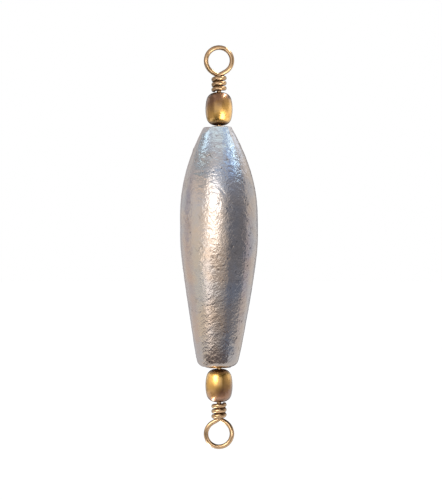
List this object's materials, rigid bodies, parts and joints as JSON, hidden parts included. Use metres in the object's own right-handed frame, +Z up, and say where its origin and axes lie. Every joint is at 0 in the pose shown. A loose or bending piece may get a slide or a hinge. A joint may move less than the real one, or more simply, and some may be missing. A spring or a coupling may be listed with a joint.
{
  "type": "fishing sinker",
  "caption": "Torpedo-shaped cast lead sinker with a free-turning brass barrel swivel and wire eye cast into each end, tied in line between the main line and the leader.",
  "frame": {"origin": "centre of the opening of the line eye, the eye at the thin nose end", "axes": "+Z up the fishing line from the sinker; +X to the right and -Y towards the viewer in the picture; both loops lie in the XZ plane at rest"},
  "size_m": [0.0146, 0.0146, 0.0756],
  "materials": {
    "cast_lead": "satin",
    "brass_barrel": "satin",
    "brass_wire": "polished"
  },
  "bodies": {
    "line_eye": {"line_eye": "brass_wire"},
    "upper_barrel": {"upper_barrel": "brass_barrel"},
    "sinker": {"lead_body": "cast_lead", "upper_anchor": "brass_wire", "lower_anchor": "brass_wire"},
    "lower_barrel": {"lower_barrel": "brass_barrel"},
    "leader_eye": {"leader_eye": "brass_wire"}
  },
  "joints": [
    {"name": "upper_barrel_spin", "type": "hinge", "parent": "line_eye", "child": "upper_barrel", "pos_m": [0, 0, -0.0064], "axis": [0, 0, 1], "continuous": true},
    {"name": "sinker_spin", "type": "hinge", "parent": "upper_barrel", "child": "sinker", "pos_m": [0, 0, -0.0114], "axis": [0, 0, 1], "continuous": true},
    {"name": "lower_barrel_spin", "type": "hinge", "parent": "sinker", "child": "lower_barrel", "pos_m": [0, 0, -0.0583], "axis": [0, 0, 1], "continuous": true},
    {"name": "leader_eye_spin", "type": "hinge", "parent": "lower_barrel", "child": "leader_eye", "pos_m": [0, 0, -0.0633], "axis": [0, 0, 1], "continuous": true}
  ]
}
